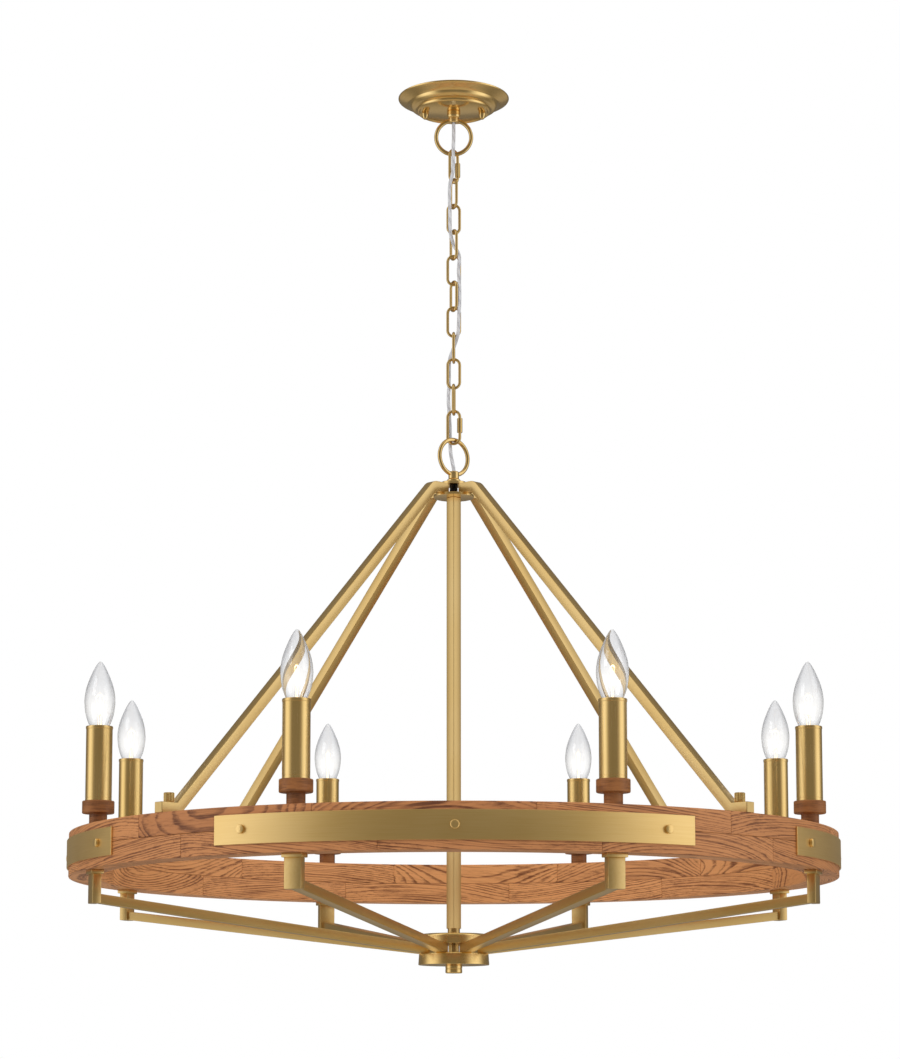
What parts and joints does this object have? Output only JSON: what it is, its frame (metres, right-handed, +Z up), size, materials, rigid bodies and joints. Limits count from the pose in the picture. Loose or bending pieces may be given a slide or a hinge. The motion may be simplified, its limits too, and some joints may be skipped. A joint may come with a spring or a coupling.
{
  "type": "wagon wheel chandelier",
  "caption": "Wagon wheel chandelier with a stained wooden ring, satin brass arms and straps, candle lamps, centre column, chain and round canopy.",
  "frame": {"origin": "centre of the canopy rim on the ceiling plane, where the crossbar is screwed to the outlet box", "axes": "+Z up towards the ceiling, -Y to the front as in the picture, +X to the right; the lamp hangs below the origin"},
  "size_m": [0.9224, 0.9224, 1.0743],
  "materials": {
    "brass": "satin lacquered",
    "wood": "stained, matt",
    "black": "black",
    "steel": "zinc plated",
    "cord": "clear grey",
    "porcelain": "glazed",
    "glass": "clear"
  },
  "bodies": {
    "canopy_fixing": {"ceiling_crossbar": "steel", "canopy_studs": "steel", "canopy": "brass", "canopy_cap_nuts": "brass", "top_nipple": "steel", "top_collar": "brass", "top_loop": "brass", "supply_cord": "cord"},
    "quick_link_top_body": {"quick_link_top": "brass"},
    "sleeve_nut_top": {"quick_link_top_sleeve": "brass"},
    "link_1": {"chain_link_1": "brass"},
    "link_2": {"chain_link_2": "brass"},
    "link_3": {"chain_link_3": "brass"},
    "link_4": {"chain_link_4": "brass"},
    "link_5": {"chain_link_5": "brass"},
    "link_6": {"chain_link_6": "brass"},
    "link_7": {"chain_link_7": "brass"},
    "link_8": {"chain_link_8": "brass"},
    "link_9": {"chain_link_9": "brass"},
    "quick_link_bottom_body": {"quick_link_bottom": "brass"},
    "sleeve_nut_bottom": {"quick_link_bottom_sleeve": "brass"},
    "wheel": {"bottom_loop": "brass", "bottom_collar": "brass", "hub_nipple": "black", "top_hub_disc": "brass", "upper_arm_1": "brass", "upper_arm_2": "brass", "upper_arm_3": "brass", "upper_arm_4": "brass", "centre_column": "brass", "lower_hub_top_disc": "brass", "lower_hub_post": "black", "lower_hub_bottom_disc": "brass", "bottom_finial": "brass", "lower_arm_1": "brass", "lower_arm_2": "brass", "lower_arm_3": "brass", "lower_arm_4": "brass", "lower_arm_5": "brass", "lower_arm_6": "brass", "lower_arm_7": "brass", "lower_arm_8": "brass", "ring_upper_course": "wood", "ring_lower_course": "wood", "ring_straps": "brass", "strap_pins": "brass", "foot_nuts": "brass", "candle_rods": "steel", "candle_cups": "wood", "candle_sleeves": "brass", "candle_sockets": "porcelain", "lamp_wires": "cord"},
    "lamp_1": {"bulb_1": "glass"},
    "lamp_2": {"bulb_2": "glass"},
    "lamp_3": {"bulb_3": "glass"},
    "lamp_4": {"bulb_4": "glass"},
    "lamp_5": {"bulb_5": "glass"},
    "lamp_6": {"bulb_6": "glass"},
    "lamp_7": {"bulb_7": "glass"},
    "lamp_8": {"bulb_8": "glass"}
  },
  "joints": [
    {"name": "quick_link_top_body_swing", "type": "hinge", "parent": "canopy_fixing", "child": "quick_link_top_body", "pos_m": [0, 0, -0.0713], "axis": [1, 0, 0], "range_deg": [-15, 15], "deforming": ["supply_cord"]},
    {"name": "link_1_swing", "type": "hinge", "parent": "quick_link_top_body", "child": "link_1", "pos_m": [0, 0, -0.10695], "axis": [0.6428, 0.766, 0], "range_deg": [-20, 20], "deforming": ["supply_cord"]},
    {"name": "link_2_swing", "type": "hinge", "parent": "link_1", "child": "link_2", "pos_m": [0, 0, -0.1392], "axis": [0.4695, -0.8829, 0], "range_deg": [-20, 20], "deforming": ["supply_cord"]},
    {"name": "link_3_swing", "type": "hinge", "parent": "link_2", "child": "link_3", "pos_m": [0, 0, -0.1715], "axis": [-0.9903, -0.1392, 0], "range_deg": [-20, 20], "deforming": ["supply_cord"]},
    {"name": "link_4_swing", "type": "hinge", "parent": "link_3", "child": "link_4", "pos_m": [0, 0, -0.2038], "axis": [-0.4695, 0.8829, 0], "range_deg": [-20, 20], "deforming": ["supply_cord"]},
    {"name": "link_5_swing", "type": "hinge", "parent": "link_4", "child": "link_5", "pos_m": [0, 0, -0.2361], "axis": [1, 0, 0], "range_deg": [-20, 20], "deforming": ["supply_cord"]},
    {"name": "link_6_swing", "type": "hinge", "parent": "link_5", "child": "link_6", "pos_m": [0, 0, -0.2684], "axis": [0.4695, -0.8829, 0], "range_deg": [-20, 20], "deforming": ["supply_cord"]},
    {"name": "link_7_swing", "type": "hinge", "parent": "link_6", "child": "link_7", "pos_m": [0, 0, -0.3007], "axis": [-0.9994, -0.0349, 0], "range_deg": [-20, 20], "deforming": ["supply_cord"]},
    {"name": "link_8_swing", "type": "hinge", "parent": "link_7", "child": "link_8", "pos_m": [0, 0, -0.333], "axis": [0.0349, 0.9994, 0], "range_deg": [-20, 20], "deforming": ["supply_cord"]},
    {"name": "link_9_swing", "type": "hinge", "parent": "link_8", "child": "link_9", "pos_m": [0, 0, -0.3653], "axis": [1, 0, 0], "range_deg": [-20, 20], "deforming": ["supply_cord"]},
    {"name": "quick_link_bottom_body_swing", "type": "hinge", "parent": "link_9", "child": "quick_link_bottom_body", "pos_m": [0, 0, -0.3976], "axis": [-0.1045, -0.9945, 0], "range_deg": [-20, 20], "deforming": ["supply_cord"]},
    {"name": "wheel_swing", "type": "hinge", "parent": "quick_link_bottom_body", "child": "wheel", "pos_m": [0, 0, -0.43425], "axis": [-0.9781, 0.2079, 0], "range_deg": [-10, 10], "deforming": ["supply_cord"]},
    {"name": "sleeve_nut_top_travel", "type": "slide", "parent": "quick_link_top_body", "child": "sleeve_nut_top", "axis": [0, 0, 1], "range_m": [0, 0.007]},
    {"name": "sleeve_nut_bottom_travel", "type": "slide", "parent": "quick_link_bottom_body", "child": "sleeve_nut_bottom", "axis": [0, 0, -1], "range_m": [0, 0.0054]},
    {"name": "lamp_1_removal", "type": "slide", "parent": "wheel", "child": "lamp_1", "axis": [0, 0, 1], "range_m": [0, 0.035]},
    {"name": "lamp_2_removal", "type": "slide", "parent": "wheel", "child": "lamp_2", "axis": [0, 0, 1], "range_m": [0, 0.035]},
    {"name": "lamp_3_removal", "type": "slide", "parent": "wheel", "child": "lamp_3", "axis": [0, 0, 1], "range_m": [0, 0.035]},
    {"name": "lamp_4_removal", "type": "slide", "parent": "wheel", "child": "lamp_4", "axis": [0, 0, 1], "range_m": [0, 0.035]},
    {"name": "lamp_5_removal", "type": "slide", "parent": "wheel", "child": "lamp_5", "axis": [0, 0, 1], "range_m": [0, 0.035]},
    {"name": "lamp_6_removal", "type": "slide", "parent": "wheel", "child": "lamp_6", "axis": [0, 0, 1], "range_m": [0, 0.035]},
    {"name": "lamp_7_removal", "type": "slide", "parent": "wheel", "child": "lamp_7", "axis": [0, 0, 1], "range_m": [0, 0.035]},
    {"name": "lamp_8_removal", "type": "slide", "parent": "wheel", "child": "lamp_8", "axis": [0, 0, 1], "range_m": [0, 0.035]}
  ]
}
